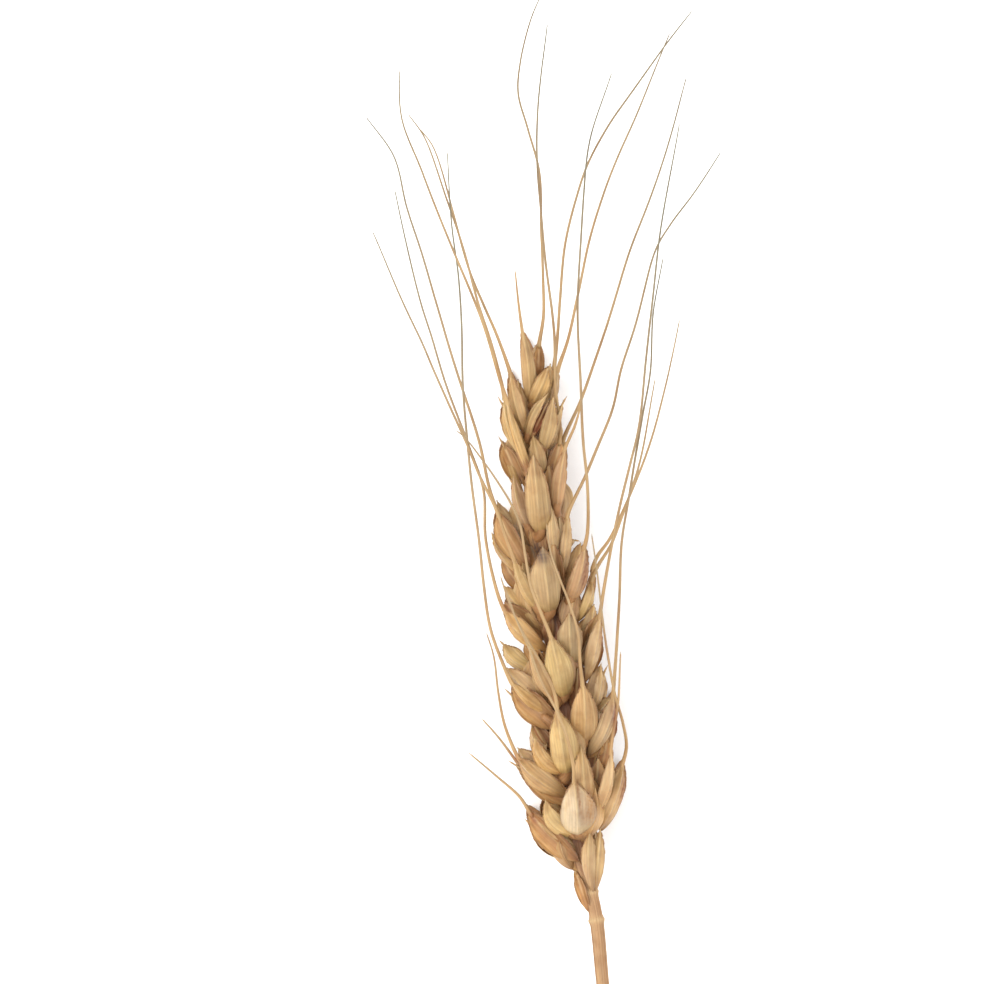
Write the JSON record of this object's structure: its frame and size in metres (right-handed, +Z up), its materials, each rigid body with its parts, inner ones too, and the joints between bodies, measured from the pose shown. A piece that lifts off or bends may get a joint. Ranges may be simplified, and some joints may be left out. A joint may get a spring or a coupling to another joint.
{
  "type": "wheat ear",
  "caption": "Ripe bearded wheat ear with its awns and a length of cut straw, lying on a flat surface as picked.",
  "frame": {"origin": "on the surface that the ear lies on, under the middle of the whole outline", "axes": "+Z up from the surface, +Y up the ear from the cut end of the straw to the tips of the awns, +X to the right"},
  "size_m": [0.0498, 0.1489, 0.025],
  "materials": {
    "straw": "dry ribbed straw, satin",
    "chaff": "dry veined husk, satin to matt"
  },
  "bodies": {
    "root": {"straw_and_rachis": "straw", "spikelet_01": "chaff", "spikelet_02": "chaff", "spikelet_03": "chaff", "spikelet_04": "chaff", "spikelet_05": "chaff", "spikelet_06": "chaff", "spikelet_07": "chaff", "spikelet_08": "chaff", "spikelet_09": "chaff", "spikelet_10": "chaff", "spikelet_11": "chaff", "spikelet_12": "chaff", "spikelet_13": "chaff", "spikelet_14": "chaff", "spikelet_15": "chaff", "spikelet_16": "chaff"}
  },
  "joints": []
}
